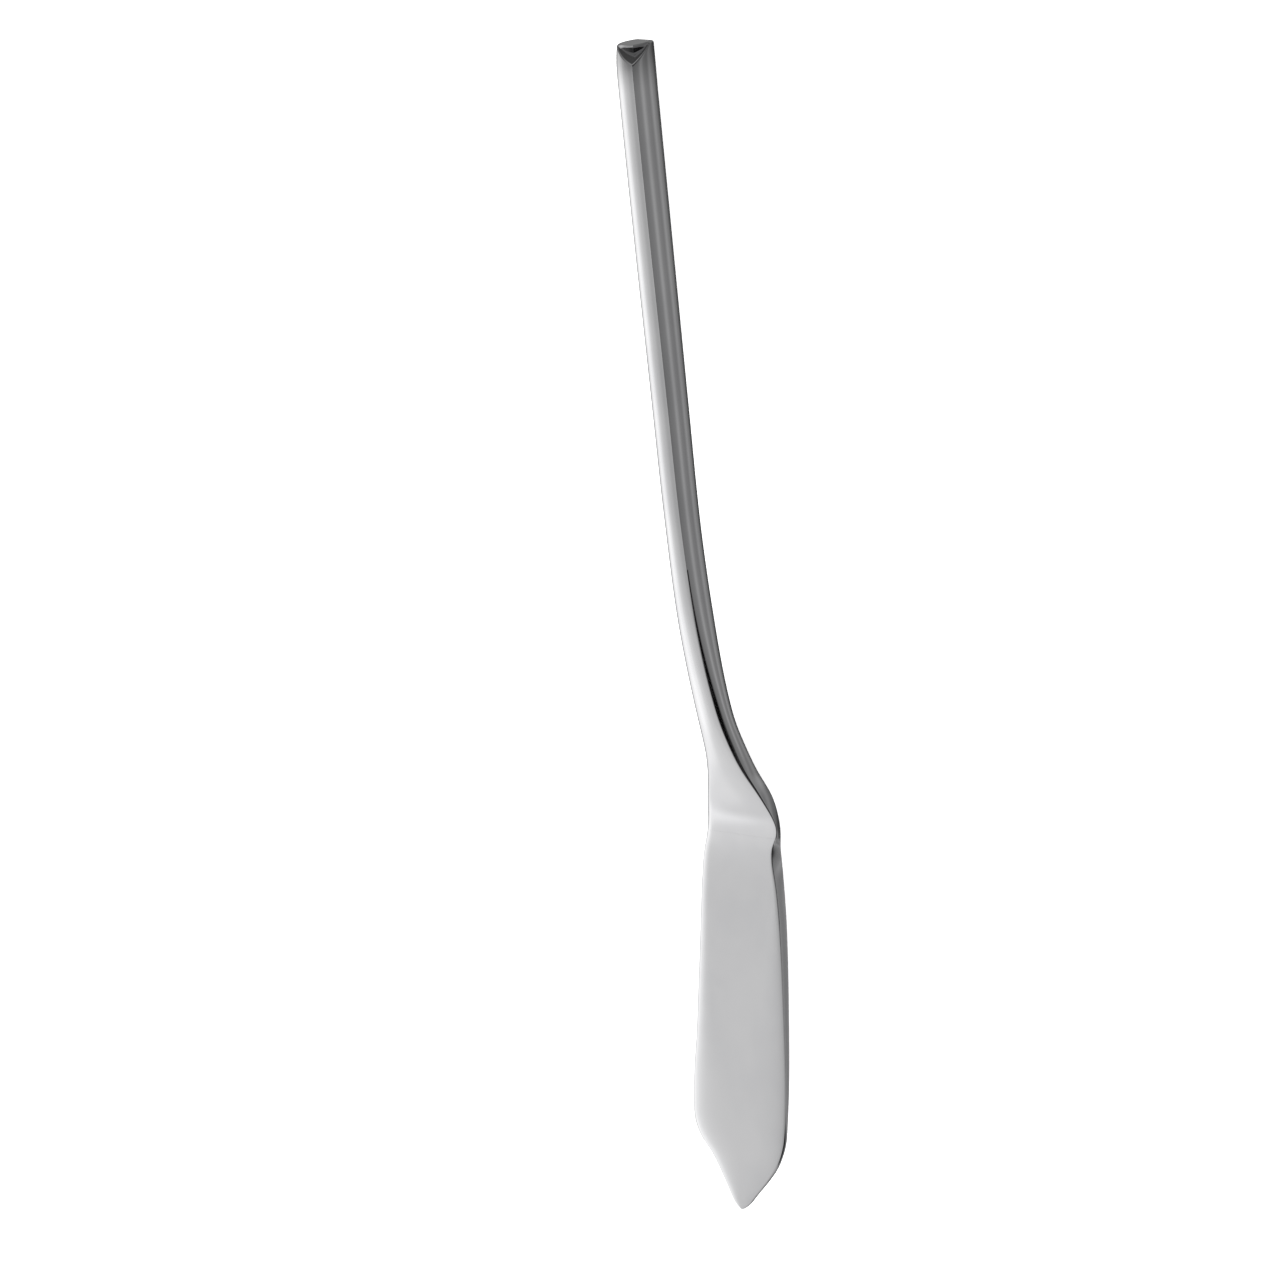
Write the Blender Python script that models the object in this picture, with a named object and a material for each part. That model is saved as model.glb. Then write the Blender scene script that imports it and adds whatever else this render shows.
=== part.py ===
"""A polished steel fish knife: a four-sided handle with a cranked neck and a flared shoulder, and a flat
leaf-shaped blade, butt-welded to each other at the heel.

The knife is designed in its own blade frame, in millimetres: s runs from the handle's end to the tip, u runs
across the blade towards the spine, and h stands up from the blade's front face. It is then laid down the way
it rests on a table: the handle's end and the back of the neck touch z = 0, and the tip stays clear.
In the rest frame +X points to the handle's end, -Y to the spine and +Z up.
"""

import math

import bmesh
import bpy
import numpy as np

MM = 0.001

# Driving dimensions, in millimetres.
OVERALL = 205.2
HANDLE_END = 0.75
END_BLEND = 8.0
HEEL = 139.0
NECK_SEARCH = (120, 150)
WELD_GAP = 0.3
HANDLE_SLOPE = 0.148
END_ROUND = 0.4
FACET_DEPTH = 0.62
FACET_TOP = 0.22
FACET_LEAN = 0.26
FACET_WALL = 0.15
FACET_LENGTH = 3.5
FACET_SOFTNESS = 0.12
NOSE_LENGTH = 1.7

# Each profile is a list of (s, value) pairs, joined by a smooth curve that never overshoots them.
# The heights of the front and the back, with the flat land that the back follows under the blade.
FRONT_HEIGHT = [(HANDLE_END, 29.1), (2.0, 29.38), (3.6, 29.42), (6, 29.11), (65, 20.4), (82, 17.8),
                (99.5, 14.35), (116.8, 9.2), (130.6, 3.45), (134, 1.8), (136, 1.0), (138, 0.5), (140, 0.26),
                (143, 0.09), (146, 0.02), (150, 0), (OVERALL, 0)]
BACK_HEIGHT = [(0, 23.9), (65, 15.05), (82, 12.65), (99.5, 9.45), (116.8, 5.4), (127, 1.5), (133.5, -0.75),
               (137.5, -1.0), (139.5, -1.1), (142.5, -2.0)]
BACK_LAND = ((145, -2.25), (192, -0.8))

# The half widths: to the spine along the front and along the back, and to the working edge.
SPINE_FRONT = [(0, 2.0), (82, 2.0), (99.5, 2.3), (116.8, 3.0), (123.7, 4.05), (127.1, 5.0), (130.6, 6.75),
               (134.1, 8.15), (137, 9.1), (138.9, 8.75), (140.6, 7.2), (142.5, 7.1), (148, 8.1),
               (154, 8.85), (168, 9.8), (183, 10.4), (191.5, 9.95), (196.3, 8.45), (199.8, 5.9),
               (203.2, 2.6), (OVERALL, 1.2)]
SPINE_BACK = [(0, 2.32), (60, 2.42), (82, 2.42), (99.5, 2.65), (116.8, 3.35), (123.7, 4.4), (127.1, 5.25),
              (130.6, 6.75), (134.1, 7.75), (137, 8.3), (139, 8.35), (141.3, 7.75), (143.5, 7.6), (148, 8.15),
              (154, 8.9), (168, 9.85), (183, 10.4), (191.5, 10.25), (196.3, 8.75), (199.8, 6.0), (203.2, 2.7),
              (OVERALL, 1.2)]
EDGE = [(0, 2.62), (82, 2.62), (99.5, 2.88), (116.8, 3.3), (123.7, 3.75), (127.1, 4.55), (130.6, 5.95),
        (134.1, 7.5), (137, 8.25), (139.5, 8.75), (144.5, 9.95), (162, 10.9), (175, 11.55), (184, 12.25),
        (189.4, 12.25), (193, 10.9), (196.3, 7.45), (199.8, 4.95), (203.2, 2.65), (OVERALL, 1.45)]

# How far the front and the two sides bulge.
FRONT_CROWN = [(0, 0.18), (99.5, 0.18), (130.6, 0.2), (140, 0.05), (146, 0), (OVERALL, 0)]
SIDE_CROWN = [(0, 0.3), (99.5, 0.22), (116.8, 0.15), (134, 0.08), (146, 0.03), (OVERALL, 0.02)]

# How far the roundings reach: the spine's front corner down the side and across the front, the spine's back
# corner, and the working edge's grind across the front and across the back.
ARRIS = [(0, 0.1), (90, 0.12), (106, 0.4), (122, 0.66), (128, 0.5), (137, 0.2), (146, 0.14), (165, 0.15),
         (180, 0.22), (OVERALL, 0.2)]
SPINE_ROLL = [(0, 0.45), (90, 0.45), (106, 0.5), (122, 0.6), (128, 0.5), (132, 0.35), (140, 0.3), (150, 1.0),
              (160, 3.0), (175, 6.0), (188, 8.0), (OVERALL, 3.0)]
BACK_ROLL = [(0, 0.8), (122, 0.8), (132, 0.45), (140, 0.2), (OVERALL, 0.14)]
EDGE_GRIND = [(0, 1.3), (122, 1.3), (134, 1.3), (142, 1.9), (160, 2.6), (175, 4.0), (186, 7.0), (200, 8.0),
              (OVERALL, 3.0)]
BACK_GRIND = [(0, 0.8), (116.8, 0.8), (130, 1.0), (142, 7.0), (160, 10.0), (186, 12.0), (198, 4.0),
              (OVERALL, 0.6)]

# How far the bends of a profile are eased, in how many passes, and the spacing of the points in between.
SMOOTHING = 0.9
FRONT_SMOOTHING = 1.7
EASING_PASSES = 3
GRID = 0.1

# The working side: a rolled corner on the handle turns, over the grind's run, into the blade's ground edge.
EDGE_ROLL = 1.3
EDGE_DROP = 0.45
EDGE_THICKNESS = 0.3
GRIND_START = 130
GRIND_RUN = 12

# The most that the rounded corners may take of the section's depth or width.
ROUND_SHARE = 1 / 3
ROLL_SHARE = 1 / 4
FRONT_SHARE = 0.4
BACK_SHARE = 0.55
DROP_SHARE = 0.55
LEAST_RISE = 0.05

# How finely the surfaces are cut: faces round each corner and across each side, and where the rings stand
# along s, as runs of (first, last, count), closer together where the knife bends or its outline turns.
CORNER_STEPS = 4
FACE_STEPS = 8
SIDE_STEPS = 5
END_FACE_RINGS = (0.3, 0.65)
END_STEPS = 5
END_SPACING = 0.25
HANDLE_RUNS = [(9, 80, 7), (88, 120, 9), (122, 136, 15), (136.8, HEEL - WELD_GAP / 2, 5)]
BLADE_RUNS = [(HEEL + WELD_GAP / 2, 147, 8), (150, 182, 9), (184, 202, 13)]
NOSE_STEPS = 10
NOSE_TURN = (math.radians(5), math.radians(86))

STEEL_COLOUR = (0.72, 0.72, 0.73, 1)
MIRROR_ROUGHNESS = 0.08
SATIN_ROUGHNESS = 0.2
SHARP_ANGLE = math.radians(35)


def smooth_profile(knots, smoothing=SMOOTHING):
    """A monotone cubic through the knots, with its bends eased, as a function of s."""
    x = np.array([knot[0] for knot in knots], float)
    y = np.array([knot[1] for knot in knots], float)
    width = np.diff(x)
    slope = np.diff(y) / width
    tangent = np.zeros(len(x))
    tangent[0] = slope[0]
    tangent[-1] = slope[-1]
    for i in range(1, len(x) - 1):
        if slope[i - 1] * slope[i] > 0:
            before = 2 * width[i] + width[i - 1]
            after = width[i] + 2 * width[i - 1]
            tangent[i] = (before + after) / (before / slope[i - 1] + after / slope[i])

    def at(s):
        i = min(max(int(np.searchsorted(x, s)) - 1, 0), len(width) - 1)
        t = (s - x[i]) / width[i]
        rise = (1 - t) ** 2 * ((1 + 2 * t) * y[i] + t * width[i] * tangent[i])
        return rise + t ** 2 * ((3 - 2 * t) * y[i + 1] - (1 - t) * width[i] * tangent[i + 1])

    return averaged(at, x[0], x[-1], smoothing)


def averaged(curve, first, last, smoothing):
    """The curve with its bends eased, by a moving average whose reach shrinks to nothing at both ends."""
    places = np.arange(first, last + GRID / 2, GRID)
    values = np.array([curve(s) for s in places])
    for _ in range(EASING_PASSES):
        total = np.concatenate([[0], np.cumsum(values)])
        reach = np.minimum(np.arange(len(places)), np.arange(len(places))[::-1])
        reach = np.minimum(reach, int(smoothing / GRID))
        middle = np.arange(len(places))
        values = (total[middle + reach + 1] - total[middle - reach]) / (2 * reach + 1)
    return lambda s: float(np.interp(s, places, values))


front_height = smooth_profile(FRONT_HEIGHT, FRONT_SMOOTHING)
neck_back = smooth_profile(BACK_HEIGHT + list(BACK_LAND))
spine_front = smooth_profile(SPINE_FRONT)
spine_back = smooth_profile(SPINE_BACK)
edge_side = smooth_profile(EDGE)
front_crown = smooth_profile(FRONT_CROWN)
side_crown = smooth_profile(SIDE_CROWN)
arris = smooth_profile(ARRIS)
edge_grind = smooth_profile(EDGE_GRIND)
spine_roll = smooth_profile(SPINE_ROLL)
back_roll = smooth_profile(BACK_ROLL)
back_grind = smooth_profile(BACK_GRIND)


def back_height(s):
    """The back's height: a smooth curve under the handle and neck, and one flat land under the blade."""
    (start, high), (end, low) = BACK_LAND
    if s < start:
        return neck_back(s)
    return high + (low - high) * (s - start) / (end - start)


def nose(s):
    """How much of its width the blade keeps in the round nose of the tip: 1 before it, 0 at its end."""
    into = max(0.0, (s - (OVERALL - NOSE_LENGTH)) / NOSE_LENGTH)
    return math.sqrt(max(0.0, 1 - into ** 2))


def unit(vector):
    return vector / np.linalg.norm(vector)


def crossing(point, way, other, other_way):
    """Where two lines of the section's plane cross, each given by a point and a direction."""
    across = np.array([other_way[1], -other_way[0]])
    return point + way * ((other - point) @ across) / (way @ across)


def rounded_ring(corners, legs, crowns, steps):
    """A closed ring of (u, h) points: four sides that bulge by their crown, cut back by a leg at both ends,
    and joined at the corners by quadratic curves that leave them smoothly."""
    sides = []
    for i in range(4):
        after = (i + 1) % 4
        along = unit(corners[after] - corners[i])
        start = corners[i] + legs[i][1] * along
        end = corners[after] - legs[after][0] * along
        sides.append((start, end, 4 * crowns[i] * np.array([along[1], -along[0]])))
    ring = []
    for i in range(4):
        old_start, old_end, old_bulge = sides[i - 1]
        start, end, bulge = sides[i]
        peak = crossing(old_end, old_end - old_start - old_bulge, start, end - start + bulge)
        for t in np.linspace(0, 1, CORNER_STEPS + 1):
            ring.append((1 - t) ** 2 * old_end + 2 * t * (1 - t) * peak + t ** 2 * start)
        for t in np.linspace(0, 1, steps[i] + 1)[1:-1]:
            ring.append(start + (end - start) * t + bulge * t * (1 - t))
    return ring


def section(s):
    """The ring of the knife's surface at s, from the spine's front arris round the working edge and back."""
    high = front_height(s)
    low = back_height(s)
    keep = nose(s)
    left = -edge_side(s)
    right_front = spine_front(s)
    right_back = spine_back(s)
    middle = (left + right_front) / 2
    left = middle + (left - middle) * keep
    right_front = middle + (right_front - middle) * keep
    right_back = middle + (right_back - middle) * keep
    corners = [
        np.array([right_front, high]),
        np.array([left, high]),
        np.array([left, low]),
        np.array([right_back, low]),
    ]
    width = right_front - left
    depth = high - low
    front_round = min(arris(s), ROUND_SHARE * depth)
    back_round = min(back_roll(s), ROLL_SHARE * width, ROUND_SHARE * depth)
    on_blade = min(1.0, max(0.0, (s - GRIND_START) / GRIND_RUN))
    drop = min(EDGE_ROLL + on_blade * (EDGE_DROP - EDGE_ROLL), DROP_SHARE * depth)
    rise = back_round + on_blade * (depth - drop - EDGE_THICKNESS - back_round)
    legs = [
        (front_round, min(spine_roll(s), FRONT_SHARE * width)),
        (min(edge_grind(s), FRONT_SHARE * width), drop),
        (max(rise, LEAST_RISE), min(back_grind(s), BACK_SHARE * width)),
        (back_round, back_round),
    ]
    side = side_crown(s)
    crowns = [front_crown(s), side * (1 - on_blade), 0, side]
    return rounded_ring(corners, legs, crowns, [FACE_STEPS, SIDE_STEPS, FACE_STEPS, SIDE_STEPS])


def ring_at(s):
    return [(s, u, h) for u, h in section(s)]


def end_ring(s, inset=0):
    """A ring near the handle's end, leant over so that the end face is square to the handle, and shrunk."""
    ring = np.array(section(s))
    high = ring.max(axis=0)
    low = ring.min(axis=0)
    ring = (high + low) / 2 + (ring - (high + low) / 2) * (1 - 2 * inset / (high - low))
    lean = HANDLE_SLOPE * max(0.0, 1 - (s - HANDLE_END) / END_BLEND)
    return [(s + (h - front_height(s)) * lean, u, h) for u, h in ring]


def handle_rings():
    """The handle's rings: the end face from its middle outwards, its rounded rim, and on to the weld."""
    rim = np.array(end_ring(HANDLE_END, END_ROUND))
    middle = rim.mean(axis=0)
    rings = [middle + (rim - middle) * part for part in END_FACE_RINGS]
    for angle in np.linspace(math.pi / 2, 0, END_STEPS):
        inset = END_ROUND * (1 - math.cos(angle))
        rings.append(end_ring(HANDLE_END + END_ROUND * (1 - math.sin(angle)), inset))
    rim_end = HANDLE_END + END_ROUND
    rings += [end_ring(s) for s in np.arange(rim_end + END_SPACING, HANDLE_END + END_BLEND, END_SPACING)]
    return rings + [ring_at(s) for run in HANDLE_RUNS for s in np.linspace(*run)]


def blade_rings():
    """The blade's rings, from the weld to the tip, closer together where the outline turns."""
    stations = [s for run in BLADE_RUNS for s in np.linspace(*run)]
    turn = np.linspace(*NOSE_TURN, NOSE_STEPS)
    stations += [OVERALL - NOSE_LENGTH * (1 - math.sin(angle)) for angle in turn]
    return [ring_at(s) for s in stations]


def rest_tilt():
    """How far the blade tips up when the handle's end and the back of the neck both touch the table."""
    end, _, tail = min(end_ring(HANDLE_END + END_ROUND), key=lambda point: point[2])
    return max(math.atan2(tail - back_height(s), s - end) for s in np.arange(*NECK_SEARCH, GRID))


def laid_down(point, tilt):
    """A point of the blade frame, in metres, turned into the rest pose about the handle's end."""
    s, u, h = point
    x = -s * math.cos(tilt) + h * math.sin(tilt)
    z = h * math.cos(tilt) + s * math.sin(tilt)
    return np.array([x, -u, z]) * MM


def loft(name, rings, tilt):
    """A closed mesh through the rings, capped at both ends."""
    mesh = bmesh.new()
    loops = [[mesh.verts.new(laid_down(point, tilt)) for point in ring] for ring in rings]
    for first, second in zip(loops, loops[1:]):
        for i in range(len(first)):
            j = (i + 1) % len(first)
            mesh.faces.new((first[i], first[j], second[j], second[i]))
    mesh.faces.new(loops[0])
    mesh.faces.new(loops[-1])
    bmesh.ops.recalc_face_normals(mesh, faces=mesh.faces)
    data = bpy.data.meshes.new(name)
    mesh.to_mesh(data)
    mesh.free()
    return bpy.data.objects.new(name, data)


def press_facet(handle, tilt):
    """Presses a triangular flat into the handle's front spine corner, just below the rim of its end. The flat
    leans towards the end and stops at a short steep wall under the rim."""
    top = front_height(HANDLE_END)
    half = spine_front(0)
    deep = FACET_DEPTH * (top - back_height(HANDLE_END))
    start = HANDLE_END + FACET_TOP
    corner = laid_down((start, -half, top), tilt)
    spine = laid_down((start + FACET_LEAN - deep * HANDLE_SLOPE, half, top - deep), tilt)
    along = laid_down((HANDLE_END + FACET_LENGTH, half, front_height(HANDLE_END + FACET_LENGTH)), tilt)
    normal = unit(np.cross(spine - corner, along - corner))
    if normal[0] < 0:
        normal = -normal
    face_out = np.array([math.sin(tilt), 0, math.cos(tilt)])
    handle_out = np.array([math.cos(tilt), 0, -math.sin(tilt)])
    for vertex in handle.data.vertices:
        offset = (np.array(vertex.co) - corner) / MM
        below = -offset @ handle_out - HANDLE_SLOPE * (offset @ face_out)
        hold = min(1.0, max(0.0, 1 + below / FACET_WALL))
        out = offset @ normal
        vertex.co = np.array(vertex.co) - normal * MM * hold * (out + math.hypot(out, FACET_SOFTNESS)) / 2


def steel(name, roughness):
    material = bpy.data.materials.new(name)
    material.use_nodes = True
    shader = material.node_tree.nodes["Principled BSDF"]
    shader.inputs["Base Color"].default_value = STEEL_COLOUR
    shader.inputs["Metallic"].default_value = 1
    shader.inputs["Roughness"].default_value = roughness
    return material


def centre_on_table(pieces):
    """Moves the meshes so that their common box stands on z = 0 with its middle over the origin."""
    points = np.array([vertex.co for piece in pieces for vertex in piece.data.vertices])
    low = points.min(axis=0)
    high = points.max(axis=0)
    shift = np.array([(low[0] + high[0]) / 2, (low[1] + high[1]) / 2, low[2]])
    for piece in pieces:
        for vertex in piece.data.vertices:
            vertex.co = np.array(vertex.co) - shift


def clear_scene():
    for item in list(bpy.data.objects):
        bpy.data.objects.remove(item, do_unlink=True)


def main():
    clear_scene()
    knife = bpy.data.collections.new("fish_knife")
    bpy.context.scene.collection.children.link(knife)
    tilt = rest_tilt()
    handle = loft("handle", handle_rings(), tilt)
    press_facet(handle, tilt)
    blade = loft("blade", blade_rings(), tilt)
    handle.data.materials.append(steel("mirror_steel", MIRROR_ROUGHNESS))
    blade.data.materials.append(steel("satin_steel", SATIN_ROUGHNESS))
    for piece in (handle, blade):
        knife.objects.link(piece)
        piece.data.shade_smooth()
        piece.data.set_sharp_from_angle(angle=SHARP_ANGLE)
    centre_on_table([handle, blade])


main()
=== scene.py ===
"""The looks of a polished steel fish knife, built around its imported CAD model.

Two pieces replace the CAD solids: the handle with its cranked neck and shoulder, and the leaf-shaped blade.
Both follow the CAD's own profiles with far more points, so that the polished steel reflects smoothly.
The profiles are in the blade frame, in millimetres: s runs from the handle's end to the tip, u across the
blade towards the spine, and h up from the blade's front face.
"""

import math

import bmesh
import bpy
import numpy as np
from mathutils import Matrix, Vector


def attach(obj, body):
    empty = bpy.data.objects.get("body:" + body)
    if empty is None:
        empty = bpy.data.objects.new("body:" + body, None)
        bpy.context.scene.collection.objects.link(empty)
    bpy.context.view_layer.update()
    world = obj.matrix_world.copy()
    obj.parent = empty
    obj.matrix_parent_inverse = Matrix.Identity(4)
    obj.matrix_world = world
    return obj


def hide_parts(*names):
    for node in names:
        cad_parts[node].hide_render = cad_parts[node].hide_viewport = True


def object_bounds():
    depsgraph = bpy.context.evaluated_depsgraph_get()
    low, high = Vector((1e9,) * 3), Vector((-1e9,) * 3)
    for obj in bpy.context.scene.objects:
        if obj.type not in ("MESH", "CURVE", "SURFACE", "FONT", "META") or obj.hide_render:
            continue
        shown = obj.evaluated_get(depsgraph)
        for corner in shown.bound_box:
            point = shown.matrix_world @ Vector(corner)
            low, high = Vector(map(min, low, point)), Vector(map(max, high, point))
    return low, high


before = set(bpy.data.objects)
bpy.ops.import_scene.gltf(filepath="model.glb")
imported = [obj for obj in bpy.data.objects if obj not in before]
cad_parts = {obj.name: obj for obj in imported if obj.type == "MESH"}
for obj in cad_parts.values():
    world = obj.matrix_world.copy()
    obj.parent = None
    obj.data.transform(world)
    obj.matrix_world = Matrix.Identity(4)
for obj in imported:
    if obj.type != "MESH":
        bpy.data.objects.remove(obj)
CAD_LOW, CAD_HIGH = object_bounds()

MM = 0.001

# The knife's driving dimensions, in millimetres, as in the CAD: where the tip, the handle's end and the weld
# at the heel are, where the neck's back may touch the table, and the length of the tip's round nose.
OVERALL = 205.2
HANDLE_END = 0.75
HEEL = 139.0
NECK_SEARCH = (120, 150)
NOSE_LENGTH = 1.7

# The handle's end is square to the handle, which slopes against the blade. The rings lean over to meet it
# within the blend, and a round eases its rim.
HANDLE_SLOPE = 0.148
END_BLEND = 8.0
END_ROUND = 0.4

# The facet: how deep it cuts, as a share of the handle's depth, how far below the end it starts and how much
# further its deep corner is, the run of its wall, its length down the arris, and how soft its edges are.
FACET_DEPTH = 0.62
FACET_TOP = 0.22
FACET_LEAN = 0.26
FACET_WALL = 0.15
FACET_LENGTH = 3.5
FACET_SOFTNESS = 0.12

# The gap between the two pieces, too fine to show, and the share of the CAD's box that they may fill.
SEAM = 0.01
INSIDE = 0.99995

# Each profile is a list of (s, value) pairs, joined by a smooth curve that never overshoots them.
# The heights of the front and the back, with the flat land that the back follows under the blade.
FRONT_HEIGHT = [(HANDLE_END, 29.1), (2.0, 29.38), (3.6, 29.42), (6, 29.11), (65, 20.4), (82, 17.8),
                (99.5, 14.35), (116.8, 9.2), (130.6, 3.45), (134, 1.8), (136, 1.0), (138, 0.5), (140, 0.26),
                (143, 0.09), (146, 0.02), (150, 0), (OVERALL, 0)]
BACK_HEIGHT = [(0, 23.9), (65, 15.05), (82, 12.65), (99.5, 9.45), (116.8, 5.4), (127, 1.5), (133.5, -0.75),
               (137.5, -1.0), (139.5, -1.1), (142.5, -2.0)]
BACK_LAND = ((145, -2.25), (192, -0.8))

# The half widths: to the spine along the front and along the back, and to the working edge.
SPINE_FRONT = [(0, 2.0), (82, 2.0), (99.5, 2.3), (116.8, 3.0), (123.7, 4.05), (127.1, 5.0), (130.6, 6.75),
               (134.1, 8.15), (137, 9.1), (138.9, 8.75), (140.6, 7.2), (142.5, 7.1), (148, 8.1),
               (154, 8.85), (168, 9.8), (183, 10.4), (191.5, 9.95), (196.3, 8.45), (199.8, 5.9),
               (203.2, 2.6), (OVERALL, 1.2)]
SPINE_BACK = [(0, 2.32), (60, 2.42), (82, 2.42), (99.5, 2.65), (116.8, 3.35), (123.7, 4.4), (127.1, 5.25),
              (130.6, 6.75), (134.1, 7.75), (137, 8.3), (139, 8.35), (141.3, 7.75), (143.5, 7.6), (148, 8.15),
              (154, 8.9), (168, 9.85), (183, 10.4), (191.5, 10.25), (196.3, 8.75), (199.8, 6.0), (203.2, 2.7),
              (OVERALL, 1.2)]
EDGE = [(0, 2.62), (82, 2.62), (99.5, 2.88), (116.8, 3.3), (123.7, 3.75), (127.1, 4.55), (130.6, 5.95),
        (134.1, 7.5), (137, 8.25), (139.5, 8.75), (144.5, 9.95), (162, 10.9), (175, 11.55), (184, 12.25),
        (189.4, 12.25), (193, 10.9), (196.3, 7.45), (199.8, 4.95), (203.2, 2.65), (OVERALL, 1.45)]

# How far the front and the two sides bulge.
FRONT_CROWN = [(0, 0.18), (99.5, 0.18), (130.6, 0.2), (140, 0.05), (146, 0), (OVERALL, 0)]
SIDE_CROWN = [(0, 0.3), (99.5, 0.22), (116.8, 0.15), (134, 0.08), (146, 0.03), (OVERALL, 0.02)]

# How far the roundings reach: the spine's front corner down the side and across the front, the spine's back
# corner, and the working edge's grind across the front and across the back.
ARRIS = [(0, 0.1), (90, 0.12), (106, 0.4), (122, 0.66), (128, 0.5), (137, 0.2), (146, 0.14), (165, 0.15),
         (180, 0.22), (OVERALL, 0.2)]
SPINE_ROLL = [(0, 0.45), (90, 0.45), (106, 0.5), (122, 0.6), (128, 0.5), (132, 0.35), (140, 0.3), (150, 1.0),
              (160, 3.0), (175, 6.0), (188, 8.0), (OVERALL, 3.0)]
BACK_ROLL = [(0, 0.8), (122, 0.8), (132, 0.45), (140, 0.2), (OVERALL, 0.14)]
EDGE_GRIND = [(0, 1.3), (122, 1.3), (134, 1.3), (142, 1.9), (160, 2.6), (175, 4.0), (186, 7.0), (200, 8.0),
              (OVERALL, 3.0)]
BACK_GRIND = [(0, 0.8), (116.8, 0.8), (130, 1.0), (142, 7.0), (160, 10.0), (186, 12.0), (198, 4.0),
              (OVERALL, 0.6)]

# How far the bends of a profile are eased, in how many passes, and the spacing of the points in between.
SMOOTHING = 0.9
FRONT_SMOOTHING = 1.7
EASING_PASSES = 3
GRID = 0.1

# The working side: a rolled corner on the handle turns, over the grind's run, into the blade's ground edge.
EDGE_ROLL = 1.3
EDGE_DROP = 0.45
EDGE_THICKNESS = 0.3
GRIND_START = 130
GRIND_RUN = 12

# The most that the rounded corners may take of the section's depth or width.
ROUND_SHARE = 1 / 3
ROLL_SHARE = 1 / 4
FRONT_SHARE = 0.4
BACK_SHARE = 0.55
DROP_SHARE = 0.55
LEAST_RISE = 0.05

# How finely the visual surfaces are cut, round a ring.
CORNER_STEPS = 8
FACE_STEPS = 24
SIDE_STEPS = 16

# And along the knife: the rings of the end face, as shares of its size, and those of its rim; the steps in
# millimetres along the blend, the straight handle, and the neck and blade; and the rings round the nose.
END_FACE_SHARES = (0.05, 0.95)
END_FACE_RINGS = 15
RIM_RINGS = 10
BLEND_STEP = 0.15
HANDLE_START = 9.2
HANDLE_STEP = 1.0
NECK_START = 92
FINE_STEP = 0.4
NOSE_TURN = (math.radians(3), math.radians(87))
NOSE_RINGS = 18

# Edges that turn by more than this stay sharp.
SHARP_ANGLE = math.radians(35)

# The photograph's view: turned from the blade's face towards the spine, and raised towards the handle's end.
# In metres: the camera's distance, the width that it sees there, and how far the tip is right of its aim and
# below it.
VIEW_TURN = math.radians(45)
VIEW_RAISE = math.radians(7)
VIEW_DISTANCE = 1.6
VIEW_WIDTH = 0.2203
TIP_RIGHT = 0.01938
TIP_BELOW = 0.1010
SENSOR_MM = 36
CLIP_END = 20


def smooth_profile(knots, smoothing=SMOOTHING):
    """A monotone cubic through the knots, with its bends eased, as a function of s."""
    x = np.array([knot[0] for knot in knots], float)
    y = np.array([knot[1] for knot in knots], float)
    width = np.diff(x)
    slope = np.diff(y) / width
    tangent = np.zeros(len(x))
    tangent[0] = slope[0]
    tangent[-1] = slope[-1]
    for i in range(1, len(x) - 1):
        if slope[i - 1] * slope[i] > 0:
            before = 2 * width[i] + width[i - 1]
            after = width[i] + 2 * width[i - 1]
            tangent[i] = (before + after) / (before / slope[i - 1] + after / slope[i])

    def at(s):
        i = min(max(int(np.searchsorted(x, s)) - 1, 0), len(width) - 1)
        t = (s - x[i]) / width[i]
        rise = (1 - t) ** 2 * ((1 + 2 * t) * y[i] + t * width[i] * tangent[i])
        return rise + t ** 2 * ((3 - 2 * t) * y[i + 1] - (1 - t) * width[i] * tangent[i + 1])

    return averaged(at, x[0], x[-1], smoothing)


def averaged(curve, first, last, smoothing):
    """The curve with its bends eased, by a moving average whose reach shrinks to nothing at both ends."""
    places = np.arange(first, last + GRID / 2, GRID)
    values = np.array([curve(s) for s in places])
    for _ in range(EASING_PASSES):
        total = np.concatenate([[0], np.cumsum(values)])
        reach = np.minimum(np.arange(len(places)), np.arange(len(places))[::-1])
        reach = np.minimum(reach, int(smoothing / GRID))
        middle = np.arange(len(places))
        values = (total[middle + reach + 1] - total[middle - reach]) / (2 * reach + 1)
    return lambda s: float(np.interp(s, places, values))


front_height = smooth_profile(FRONT_HEIGHT, FRONT_SMOOTHING)
neck_back = smooth_profile(BACK_HEIGHT + list(BACK_LAND))
spine_front = smooth_profile(SPINE_FRONT)
spine_back = smooth_profile(SPINE_BACK)
edge_side = smooth_profile(EDGE)
front_crown = smooth_profile(FRONT_CROWN)
side_crown = smooth_profile(SIDE_CROWN)
arris = smooth_profile(ARRIS)
edge_grind = smooth_profile(EDGE_GRIND)
spine_roll = smooth_profile(SPINE_ROLL)
back_roll = smooth_profile(BACK_ROLL)
back_grind = smooth_profile(BACK_GRIND)


def back_height(s):
    """The back's height: a smooth curve under the handle and neck, and one flat land under the blade."""
    (start, high), (end, low) = BACK_LAND
    if s < start:
        return neck_back(s)
    return high + (low - high) * (s - start) / (end - start)


def nose(s):
    """How much of its width the blade keeps in the round nose of the tip: 1 before it, 0 at its end."""
    into = max(0.0, (s - (OVERALL - NOSE_LENGTH)) / NOSE_LENGTH)
    return math.sqrt(max(0.0, 1 - into ** 2))


def unit(vector):
    return vector / np.linalg.norm(vector)


def crossing(point, way, other, other_way):
    """Where two lines of the section's plane cross, each given by a point and a direction."""
    across = np.array([other_way[1], -other_way[0]])
    return point + way * ((other - point) @ across) / (way @ across)


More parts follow.
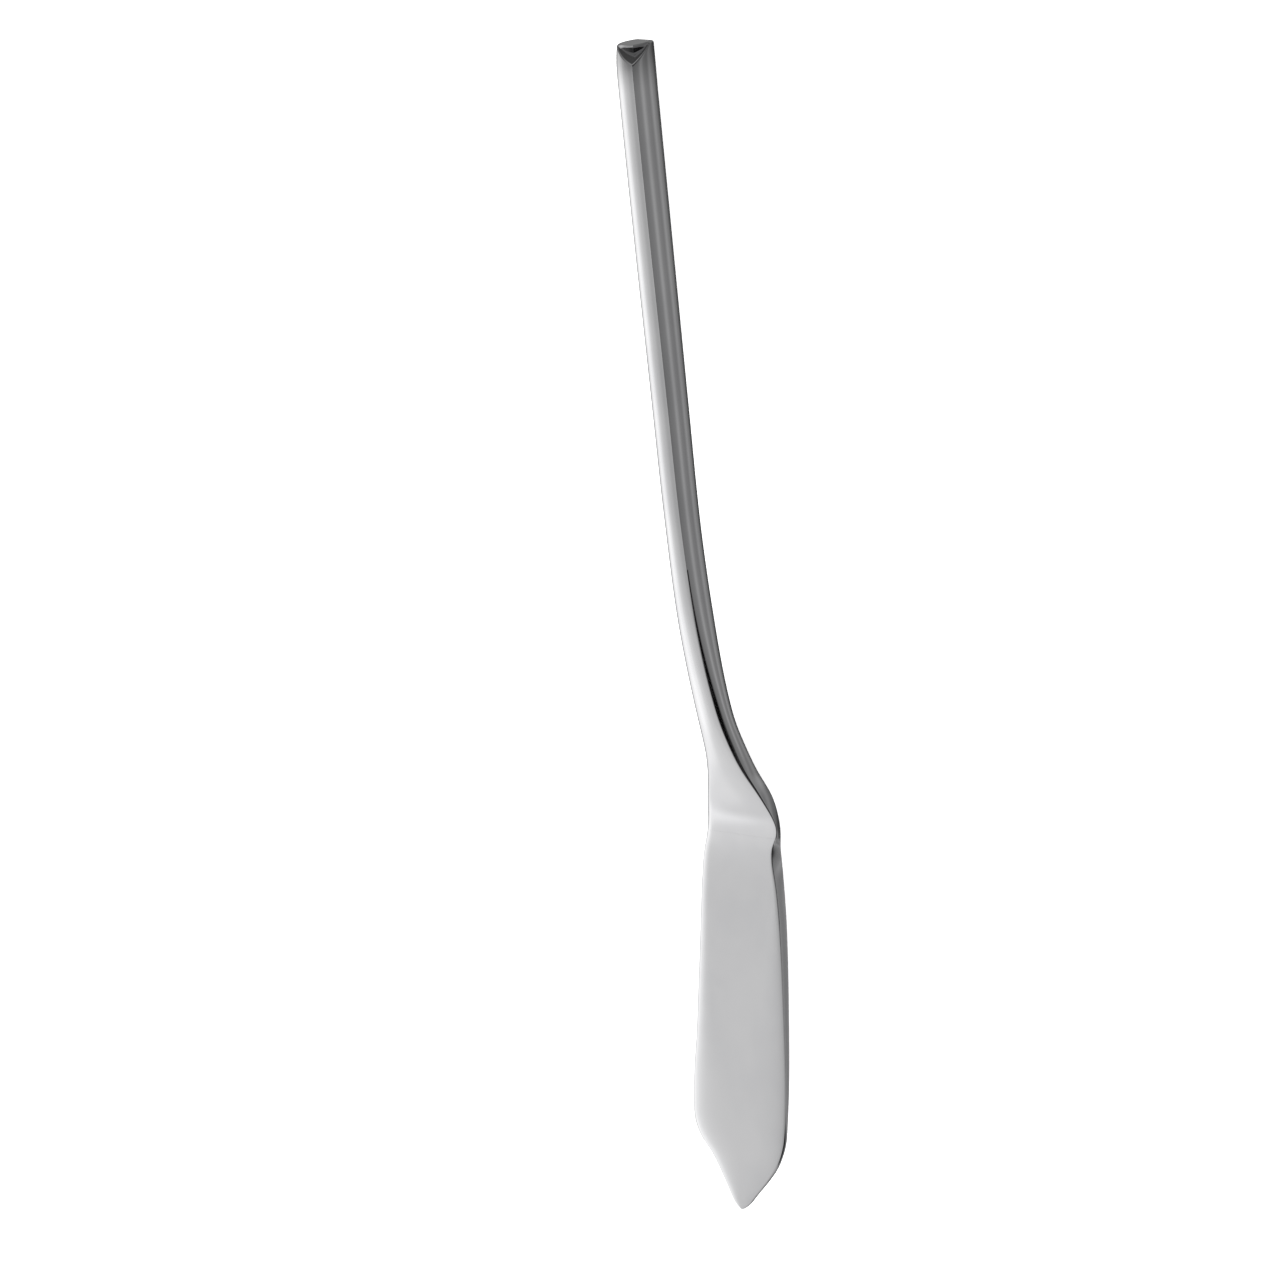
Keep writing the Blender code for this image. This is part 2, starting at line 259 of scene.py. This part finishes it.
def rounded_ring(corners, legs, crowns, steps):
    """A closed ring of (u, h) points: four sides that bulge by their crown, cut back by a leg at both ends,
    and joined at the corners by quadratic curves that leave them smoothly."""
    sides = []
    for i in range(4):
        after = (i + 1) % 4
        along = unit(corners[after] - corners[i])
        start = corners[i] + legs[i][1] * along
        end = corners[after] - legs[after][0] * along
        sides.append((start, end, 4 * crowns[i] * np.array([along[1], -along[0]])))
    ring = []
    for i in range(4):
        old_start, old_end, old_bulge = sides[i - 1]
        start, end, bulge = sides[i]
        peak = crossing(old_end, old_end - old_start - old_bulge, start, end - start + bulge)
        for t in np.linspace(0, 1, CORNER_STEPS + 1):
            ring.append((1 - t) ** 2 * old_end + 2 * t * (1 - t) * peak + t ** 2 * start)
        for t in np.linspace(0, 1, steps[i] + 1)[1:-1]:
            ring.append(start + (end - start) * t + bulge * t * (1 - t))
    return ring


def section(s):
    """The ring of the knife's surface at s, from the spine's front arris round the working edge and back."""
    high = front_height(s)
    low = back_height(s)
    keep = nose(s)
    left = -edge_side(s)
    right_front = spine_front(s)
    right_back = spine_back(s)
    middle = (left + right_front) / 2
    left = middle + (left - middle) * keep
    right_front = middle + (right_front - middle) * keep
    right_back = middle + (right_back - middle) * keep
    corners = [
        np.array([right_front, high]),
        np.array([left, high]),
        np.array([left, low]),
        np.array([right_back, low]),
    ]
    width = right_front - left
    depth = high - low
    front_round = min(arris(s), ROUND_SHARE * depth)
    back_round = min(back_roll(s), ROLL_SHARE * width, ROUND_SHARE * depth)
    on_blade = min(1.0, max(0.0, (s - GRIND_START) / GRIND_RUN))
    drop = min(EDGE_ROLL + on_blade * (EDGE_DROP - EDGE_ROLL), DROP_SHARE * depth)
    rise = back_round + on_blade * (depth - drop - EDGE_THICKNESS - back_round)
    legs = [
        (front_round, min(spine_roll(s), FRONT_SHARE * width)),
        (min(edge_grind(s), FRONT_SHARE * width), drop),
        (max(rise, LEAST_RISE), min(back_grind(s), BACK_SHARE * width)),
        (back_round, back_round),
    ]
    side = side_crown(s)
    crowns = [front_crown(s), side * (1 - on_blade), 0, side]
    return rounded_ring(corners, legs, crowns, [FACE_STEPS, SIDE_STEPS, FACE_STEPS, SIDE_STEPS])


def ring_at(s):
    return [(s, u, h) for u, h in section(s)]


def end_ring(s, inset=0):
    """A ring near the handle's end, leant over so that the end face is square to the handle, and shrunk."""
    ring = np.array(section(s))
    high = ring.max(axis=0)
    low = ring.min(axis=0)
    ring = (high + low) / 2 + (ring - (high + low) / 2) * (1 - 2 * inset / (high - low))
    lean = HANDLE_SLOPE * max(0.0, 1 - (s - HANDLE_END) / END_BLEND)
    return [(s + (h - front_height(s)) * lean, u, h) for u, h in ring]


def handle_rings():
    """The handle's rings: the end face from its middle outwards, its rounded rim, and on to the weld."""
    rim = np.array(end_ring(HANDLE_END, END_ROUND))
    middle = rim.mean(axis=0)
    rings = [middle + (rim - middle) * share for share in np.linspace(*END_FACE_SHARES, END_FACE_RINGS)]
    for angle in np.linspace(math.pi / 2, 0, RIM_RINGS):
        inset = END_ROUND * (1 - math.cos(angle))
        rings.append(end_ring(HANDLE_END + END_ROUND * (1 - math.sin(angle)), inset))
    blend = np.arange(HANDLE_END + END_ROUND + BLEND_STEP, HANDLE_END + END_BLEND, BLEND_STEP)
    rings += [end_ring(s) for s in blend]
    stations = [
        *np.arange(HANDLE_START, NECK_START, HANDLE_STEP),
        *np.arange(NECK_START, HEEL - SEAM, FINE_STEP),
        HEEL - SEAM / 2,
    ]
    return rings + [ring_at(s) for s in stations]


def blade_rings():
    """The blade's rings, from the weld to the tip, closer together where the outline turns."""
    stations = [HEEL + SEAM / 2, *np.arange(HEEL + FINE_STEP, OVERALL - NOSE_LENGTH, FINE_STEP)]
    turn = np.linspace(*NOSE_TURN, NOSE_RINGS)
    stations += [OVERALL - NOSE_LENGTH * (1 - math.sin(angle)) for angle in turn]
    return [ring_at(s) for s in stations]


def rest_tilt():
    """How far the blade tips up when the handle's end and the back of the neck both touch the table."""
    end, _, tail = min(end_ring(HANDLE_END + END_ROUND), key=lambda point: point[2])
    return max(math.atan2(tail - back_height(s), s - end) for s in np.arange(*NECK_SEARCH, GRID))


TILT = rest_tilt()


def laid_down(point):
    """A point of the blade frame, in metres, turned into the rest pose about the handle's end."""
    s, u, h = point
    x = -s * math.cos(TILT) + h * math.sin(TILT)
    z = h * math.cos(TILT) + s * math.sin(TILT)
    return Vector((x * MM, -u * MM, z * MM))


# The blade frame's axes in the rest pose: out of the front face, out of the spine, and towards the handle's
# end.
FACE_OUT = Vector((math.sin(TILT), 0, math.cos(TILT)))
SPINE_OUT = Vector((0, -1, 0))
HANDLE_OUT = Vector((math.cos(TILT), 0, -math.sin(TILT)))


def loft(name, rings):
    """A closed mesh through the rings, capped at both ends."""
    mesh = bmesh.new()
    loops = [[mesh.verts.new(laid_down(point)) for point in ring] for ring in rings]
    for first, second in zip(loops, loops[1:]):
        for i in range(len(first)):
            j = (i + 1) % len(first)
            mesh.faces.new((first[i], first[j], second[j], second[i]))
    mesh.faces.new(loops[0])
    mesh.faces.new(loops[-1])
    bmesh.ops.recalc_face_normals(mesh, faces=mesh.faces)
    data = bpy.data.meshes.new(name)
    mesh.to_mesh(data)
    mesh.free()
    piece = bpy.data.objects.new(name, data)
    bpy.context.scene.collection.objects.link(piece)
    return piece


def press_facet(handle):
    """Presses a triangular flat into the handle's front spine corner, just below the rim of its end. The flat
    leans towards the end and stops at a short steep wall under the rim."""
    top = front_height(HANDLE_END)
    half = spine_front(0)
    deep = FACET_DEPTH * (top - back_height(HANDLE_END))
    start = HANDLE_END + FACET_TOP
    corner = laid_down((start, -half, top))
    spine = laid_down((start + FACET_LEAN - deep * HANDLE_SLOPE, half, top - deep))
    along = laid_down((HANDLE_END + FACET_LENGTH, half, front_height(HANDLE_END + FACET_LENGTH)))
    normal = (spine - corner).cross(along - corner).normalized()
    if normal.x < 0:
        normal.negate()
    for vertex in handle.data.vertices:
        below = -(vertex.co - corner).dot(HANDLE_OUT) / MM
        below -= HANDLE_SLOPE * (vertex.co - corner).dot(FACE_OUT) / MM
        hold = min(1.0, max(0.0, 1 + below / FACET_WALL))
        out = (vertex.co - corner).dot(normal) / MM
        vertex.co -= normal * MM * hold * (out + math.hypot(out, FACET_SOFTNESS)) / 2


# The light that polished steel meets, by the angle round the knife in degrees (0 out of the front face, +90
# out of the spine), in belts from the tip's end of the room to the handle's. "ahead" is the first belt. Each
# later one takes over from the one before it between its two edges, which are sines of the angle towards the
# handle's end.
BELTS = {
    "ahead": [(-180, 0.1), (-135, 0.4), (-60, 0.55), (0, 0.5), (60, 0.4), (120, 0.25), (180, 0.1)],
    "tip": [(-180, 0.04), (-150, 0.08), (-135, 0.38), (-112, 0.42), (-90, 0.52), (-76, 0.64), (-67, 0.67),
            (-60, 0.58), (-50, 0.53), (-42, 0.46), (-28, 0.36), (-12, 0.2), (4, 0.0), (92, 0.0), (106, 0.12),
            (117, 0.17), (128, 0.23), (140, 0.15), (150, 0.2), (160, 0.1), (180, 0.04)],
    "neck": [(-180, 0.04), (-150, 0.08), (-135, 0.26), (-112, 0.28), (-92, 0.4), (-76, 0.76), (-66, 0.9),
             (-57, 0.79), (-49, 0.60), (-42, 0.51), (-35, 0.45), (-18, 0.33), (0, 0.17), (14, 0.04),
             (28, 0.0), (92, 0.0), (106, 0.14), (117, 0.175), (127, 0.235), (138, 0.17), (149, 0.22),
             (158, 0.16), (166, 0.07), (180, 0.04)],
    "blade": [(-180, 0.04), (-150, 0.1), (-135, 0.28), (-112, 0.3), (-95, 0.4), (-84, 0.66), (-76, 0.82),
              (-65, 0.84), (-55, 0.69), (-45, 0.475), (-35, 0.35), (-20, 0.26), (0, 0.16), (14, 0.05),
              (28, 0.02), (90, 0.02), (106, 0.15), (113, 0.17), (120, 0.27), (128, 0.175), (134, 0.16),
              (141, 0.245), (148, 0.175), (154, 0.09), (164, 0.06), (180, 0.04)],
    "end": [(-180, 0.05), (-150, 0.2), (-120, 0.26), (-70, 0.24), (-30, 0.2), (0, 0.28), (20, 0.28),
            (40, 0.08), (60, 0.0), (92, 0.0), (106, 0.14), (120, 0.2), (130, 0.15), (142, 0.2),
            (156, 0.12), (180, 0.05)],
    "handle": [(-180, 0.25), (-150, 0.23), (-120, 0.26), (-70, 0.24), (-30, 0.2), (0, 0.26), (60, 0.3),
               (82, 0.28), (94, 0.05), (120, 0.2), (150, 0.3), (180, 0.25)],
    "behind": [(-180, 0.05), (-150, 0.2), (-120, 0.26), (-70, 0.24), (-20, 0.15), (0, 0.08), (30, 0.06),
               (60, 0.0), (92, 0.0), (106, 0.14), (180, 0.05)],
}
BELT_EDGES = [("tip", -0.9, -0.8), ("neck", -0.61, -0.51), ("blade", -0.28, -0.14), ("end", 0.0, 0.2),
              ("handle", 0.36, 0.48), ("behind", 0.84, 0.9)]

# The strength of all the light, the level that matt surfaces and the camera see, and the white table's size
# in metres, its finish and its own light.
STUDIO_LIGHT = 1.25
ROOM_LIGHT = 1.2
FLOOR_SIZE = 6
FLOOR_WHITE = 0.95
FLOOR_ROUGHNESS = 0.9
FLOOR_GLOW = 0.7


class Nodes:
    """Makes shader nodes in one tree and links them."""

    def __init__(self, tree):
        self.tree = tree

    def add(self, kind, inputs=None, **settings):
        node = self.tree.nodes.new(kind)
        for name, value in settings.items():
            setattr(node, name, value)
        for name, value in (inputs or {}).items():
            if isinstance(value, bpy.types.NodeSocket):
                self.tree.links.new(value, node.inputs[name])
            else:
                node.inputs[name].default_value = value
        return node

    def maths(self, operation, *values):
        return self.add("ShaderNodeMath", dict(enumerate(values)), operation=operation).outputs[0]

    def dot(self, vector, axis):
        node = self.add("ShaderNodeVectorMath", {0: vector, 1: axis}, operation="DOT_PRODUCT")
        return node.outputs["Value"]

    def noise(self, place, scale, detail):
        inputs = {"Vector": place, "Scale": scale, "Detail": detail}
        return self.add("ShaderNodeTexNoise", inputs).outputs["Fac"]

    def ramp(self, factor, stops):
        """A smooth curve through the stops, which are (place, grey level) pairs."""
        node = self.add("ShaderNodeValToRGB", {"Fac": factor})
        node.color_ramp.interpolation = "EASE"
        elements = node.color_ramp.elements
        for place, level in stops[1:-1]:
            elements.new(place).color = (level, level, level, 1)
        for element, (place, level) in ((elements[0], stops[0]), (elements[-1], stops[-1])):
            element.position = place
            element.color = (level, level, level, 1)
        return node.outputs["Color"]

    def smooth_step(self, value, start, full):
        """Rises smoothly from 0 where the value is at the start to 1 where it is full."""
        limits = {"Value": value, "From Min": start, "From Max": full}
        return self.add("ShaderNodeMapRange", limits, interpolation_type="SMOOTHSTEP").outputs["Result"]

    def mix(self, factor, first, second):
        """A blend of two colours. The node has sockets of the same names for other types, hence the kind."""
        node = self.add("ShaderNodeMix", data_type="RGBA")
        for name, kind, value in (("Factor", "VALUE", factor), ("A", "RGBA", first), ("B", "RGBA", second)):
            socket = next(s for s in node.inputs if s.name == name and s.type == kind)
            if isinstance(value, bpy.types.NodeSocket):
                self.tree.links.new(value, socket)
            else:
                socket.default_value = value
        return next(s for s in node.outputs if s.type == "RGBA")


# How each steel is finished: the roughness, how much the polishing lines and the smears change it, how deep
# the lines are in metres, and their size in metres along and across the knife.
FINISHES = {
    "mirror_steel": {
        "rough": 0.075, "line": 0.03, "smear": 0.03,
        "deep": 1.5e-7, "long": 0.03, "fine": 0.0005,
    },
    "satin_steel": {
        "rough": 0.15, "line": 0.05, "smear": 0.04,
        "deep": 2.0e-7, "long": 0.012, "fine": 0.0003,
    },
}
LINE_DETAIL = 4

# The smears: their size in metres, their detail, the noise levels between which they set in, and the steel's
# colour without and with them.
SMEAR_SIZE = 0.014
SMEAR_DETAIL = 3
SMEAR_RANGE = (0.35, 0.7)
BRIGHT_STEEL = (0.86, 0.86, 0.87, 1)
DULL_STEEL = (0.80, 0.80, 0.815, 1)

# Painted shade darkens the steel's colour towards the handle's end: the share of its brightness that it
# keeps, and the change's length in metres.
END_PAINTED_SHADE = 0.5
END_PAINTED_SHADE_RUN = 0.009


def steel(name):
    """Polished steel: fine lines along the knife, faint smears that dull and darken it a little, and painted
    shade that darkens its colour towards the handle's end.
    """
    finish = FINISHES[name]
    material = bpy.data.materials.new(name)
    material.use_nodes = True
    make = Nodes(material.node_tree)
    place = make.add("ShaderNodeTexCoord").outputs["Object"]
    size = (1 / finish["long"], 1 / finish["fine"], 1 / finish["fine"])
    stretched = make.add("ShaderNodeVectorMath", {0: place, 1: size}, operation="MULTIPLY").outputs["Vector"]
    lines = make.noise(stretched, 1, LINE_DETAIL)
    smears = make.noise(place, 1 / SMEAR_SIZE, SMEAR_DETAIL)
    dull = make.smooth_step(smears, *SMEAR_RANGE)
    rough = make.maths("MULTIPLY_ADD", dull, finish["smear"], finish["rough"] - finish["line"] / 2)
    rough = make.maths("MULTIPLY_ADD", lines, finish["line"], rough)
    bump = make.add("ShaderNodeBump", {"Height": lines, "Distance": finish["deep"], "Strength": 1})
    # Painted shade: the base colour is darkened over the last stretch towards the handle's end.
    painted_end_shade = make.smooth_step(make.dot(place, (1, 0, 0)), CAD_HIGH[0] - END_PAINTED_SHADE_RUN, CAD_HIGH[0])
    colour = make.mix(dull, BRIGHT_STEEL, DULL_STEEL)
    shade = make.maths("MULTIPLY_ADD", painted_end_shade, END_PAINTED_SHADE - 1, 1)
    colour_with_painted_shade = make.add("ShaderNodeVectorMath", {0: colour, "Scale": shade}, operation="SCALE")
    shader = material.node_tree.nodes["Principled BSDF"]
    shader.inputs["Metallic"].default_value = 1
    material.node_tree.links.new(colour_with_painted_shade.outputs["Vector"], shader.inputs["Base Color"])
    material.node_tree.links.new(rough, shader.inputs["Roughness"])
    material.node_tree.links.new(bump.outputs["Normal"], shader.inputs["Normal"])
    return material


def studio_world():
    """Even white light for matt surfaces, and for polished ones a studio of soft panels round the knife."""
    world = bpy.data.worlds.new("studio")
    bpy.context.scene.world = world
    world.use_nodes = True
    make = Nodes(world.node_tree)
    way = make.add("ShaderNodeTexCoord").outputs["Generated"]
    angle = make.maths("ARCTAN2", make.dot(way, SPINE_OUT), make.dot(way, FACE_OUT))
    turn = make.maths("MULTIPLY_ADD", angle, 1 / (2 * math.pi), 0.5)
    belts = {
        name: make.ramp(turn, [((degrees + 180) / 360, level) for degrees, level in stops])
        for name, stops in BELTS.items()
    }
    towards_handle = make.dot(way, HANDLE_OUT)
    studio = belts["ahead"]
    for name, start, full in BELT_EDGES:
        studio = make.mix(make.smooth_step(towards_handle, start, full), studio, belts[name])
    glossy = make.add("ShaderNodeLightPath").outputs["Is Glossy Ray"]
    shown = make.mix(glossy, (ROOM_LIGHT, ROOM_LIGHT, ROOM_LIGHT, 1), studio)
    background = world.node_tree.nodes["Background"]
    world.node_tree.links.new(shown, background.inputs["Color"])
    background.inputs["Strength"].default_value = STUDIO_LIGHT


def floor():
    """A plain white table, which the polished steel doesn't reflect."""
    bpy.ops.mesh.primitive_plane_add(size=FLOOR_SIZE, location=(0, 0, 0))
    table = bpy.context.object
    table.name = "floor"
    material = bpy.data.materials.new("floor")
    material.use_nodes = True
    shader = material.node_tree.nodes["Principled BSDF"]
    shader.inputs["Base Color"].default_value = (FLOOR_WHITE, FLOOR_WHITE, FLOOR_WHITE, 1)
    shader.inputs["Roughness"].default_value = FLOOR_ROUGHNESS
    shader.inputs["Emission Color"].default_value = (1, 1, 1, 1)
    shader.inputs["Emission Strength"].default_value = FLOOR_GLOW
    table.data.materials.append(material)
    table.visible_glossy = False


def camera(shift):
    """The photograph's camera: a long lens, with the blade's axis upright in the picture. The shift is how
    far the pieces were moved onto the CAD."""
    data = bpy.data.cameras.new("camera")
    data.sensor_width = SENSOR_MM
    data.lens = SENSOR_MM * VIEW_DISTANCE / VIEW_WIDTH
    data.clip_end = CLIP_END
    view = bpy.data.objects.new("camera", data)
    bpy.context.scene.collection.objects.link(view)
    sideways = math.cos(VIEW_TURN) * FACE_OUT + math.sin(VIEW_TURN) * SPINE_OUT
    away = (math.cos(VIEW_RAISE) * sideways + math.sin(VIEW_RAISE) * HANDLE_OUT).normalized()
    up = (HANDLE_OUT - HANDLE_OUT.dot(away) * away).normalized()
    right = up.cross(away)
    turn = Matrix((right, up, away)).transposed()
    aim = laid_down((OVERALL, 0, 0)) + shift - TIP_RIGHT * right + TIP_BELOW * up
    view.matrix_world = Matrix.Translation(aim + away * VIEW_DISTANCE) @ turn.to_4x4()
    bpy.context.scene.camera = view


def place_like_cad(pieces):
    """Fits the meshes' common box just inside the CAD box, standing on the same height. Returns the shift."""
    points = np.array([vertex.co for piece in pieces for vertex in piece.data.vertices])
    low = points.min(axis=0)
    high = points.max(axis=0)
    fit = min(1.0, INSIDE * min((CAD_HIGH[i] - CAD_LOW[i]) / (high[i] - low[i]) for i in range(3)))
    shift = Vector((
        (CAD_LOW[0] + CAD_HIGH[0] - fit * (low[0] + high[0])) / 2,
        (CAD_LOW[1] + CAD_HIGH[1] - fit * (low[1] + high[1])) / 2,
        CAD_LOW[2] - fit * low[2],
    ))
    for piece in pieces:
        piece.data.transform(Matrix.Translation(shift) @ Matrix.Scale(fit, 4))
    return shift


handle = loft("handle_steel", handle_rings())
press_facet(handle)
blade = loft("blade_steel", blade_rings())
shift = place_like_cad([handle, blade])
for piece, node, slot in ((handle, "handle", "mirror_steel"), (blade, "blade", "satin_steel")):
    piece.data.materials.append(steel(slot))
    piece.data.shade_smooth()
    piece.data.set_sharp_from_angle(angle=SHARP_ANGLE)
    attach(piece, "root")
    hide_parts(node)
studio_world()
floor()
camera(shift)
bpy.context.scene.view_settings.view_transform = "Standard"
